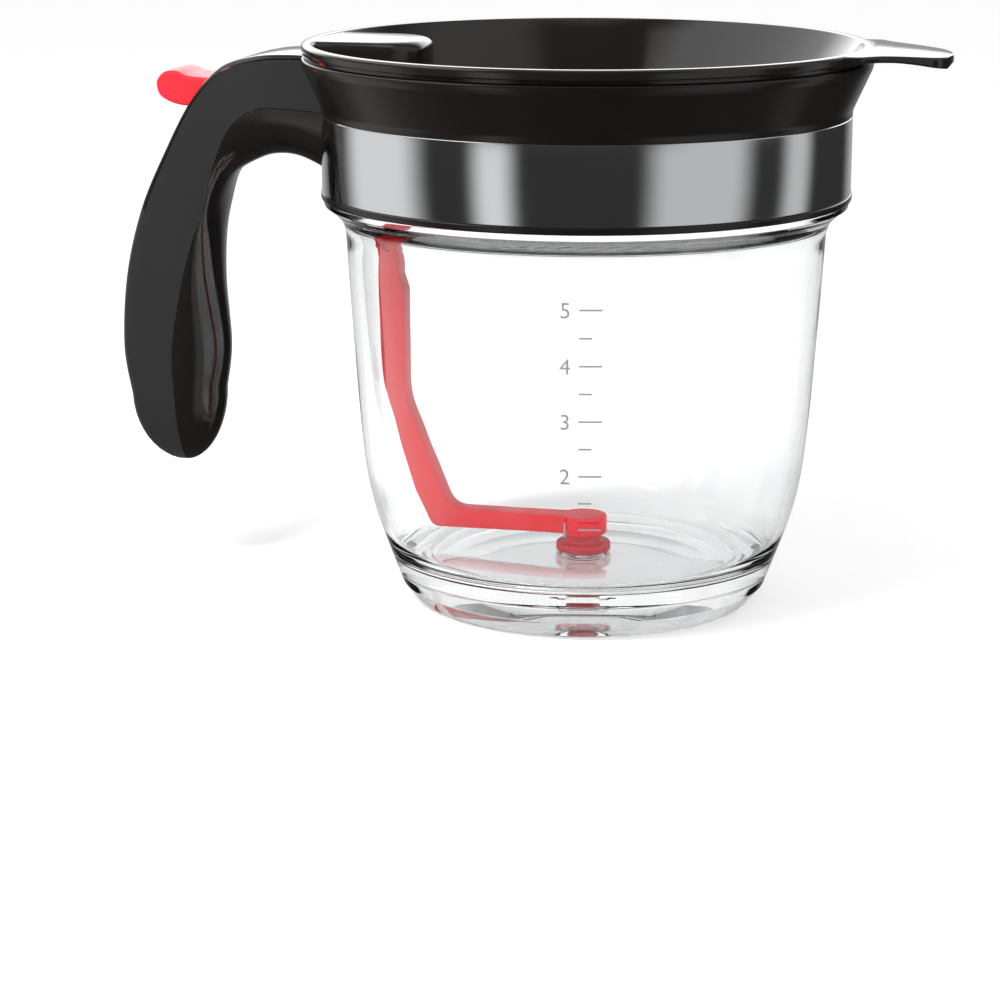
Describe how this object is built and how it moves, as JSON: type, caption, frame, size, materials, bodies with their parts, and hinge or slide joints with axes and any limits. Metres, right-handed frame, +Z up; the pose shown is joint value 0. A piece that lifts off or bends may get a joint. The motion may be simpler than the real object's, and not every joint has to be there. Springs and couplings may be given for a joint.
{
  "type": "gravy fat separator",
  "caption": "Clear jar with a bottom drain, a black collar with a curved handle, a thumb trigger that lifts a stopper, and a lift-out strainer lid.",
  "frame": {"origin": "middle of the foot ring, on the table", "axes": "+Z up along the jar's axis, the handle towards -X, the lid's thumb tab towards +X, Y across the handle"},
  "size_m": [0.2286, 0.154, 0.1537],
  "materials": {
    "clear_jar": "clear, polished",
    "seal_rubber": "matte",
    "black_plastic": "gloss",
    "bright_band": "polished",
    "screw_steel": "plain",
    "soft_grip": "soft matte",
    "red_plastic": "semi-gloss",
    "pin_steel": "plain",
    "spring_steel": "plain",
    "stopper_rubber": "matte"
  },
  "bodies": {
    "vessel": {"jar": "clear_jar", "jar_seal": "seal_rubber", "collar": "black_plastic", "chrome_band": "bright_band", "handle_screws": "screw_steel", "handle_frame": "black_plastic", "grip_cover": "soft_grip", "handle_top_cover": "black_plastic", "trigger_pin": "pin_steel", "return_spring": "spring_steel"},
    "trigger_lever": {"trigger": "red_plastic"},
    "valve": {"lift_arm": "red_plastic", "link_pin": "pin_steel", "stopper": "stopper_rubber", "stopper_rivet": "red_plastic"},
    "lid": {"strainer_lid": "black_plastic"}
  },
  "joints": [
    {"name": "trigger_press", "type": "hinge", "parent": "vessel", "child": "trigger_lever", "pos_m": [-0.0863, 0, 0.141], "axis": [0, -1, 0], "range_deg": [0, 15], "stiffness_Nm_per_rad": 0.05, "springref_deg": -17.19, "deforming": ["return_spring"]},
    {"name": "valve_lift", "type": "slide", "parent": "vessel", "child": "valve", "axis": [0, 0, 1], "range_m": [0, 0.0083]},
    {"name": "lid_lift", "type": "slide", "parent": "vessel", "child": "lid", "axis": [0, 0, 1], "range_m": [0, 0.06]}
  ],
  "couplings": [
    {"joint": "valve_lift", "follows": "trigger_press", "m_per_rad": 0.03118}
  ]
}
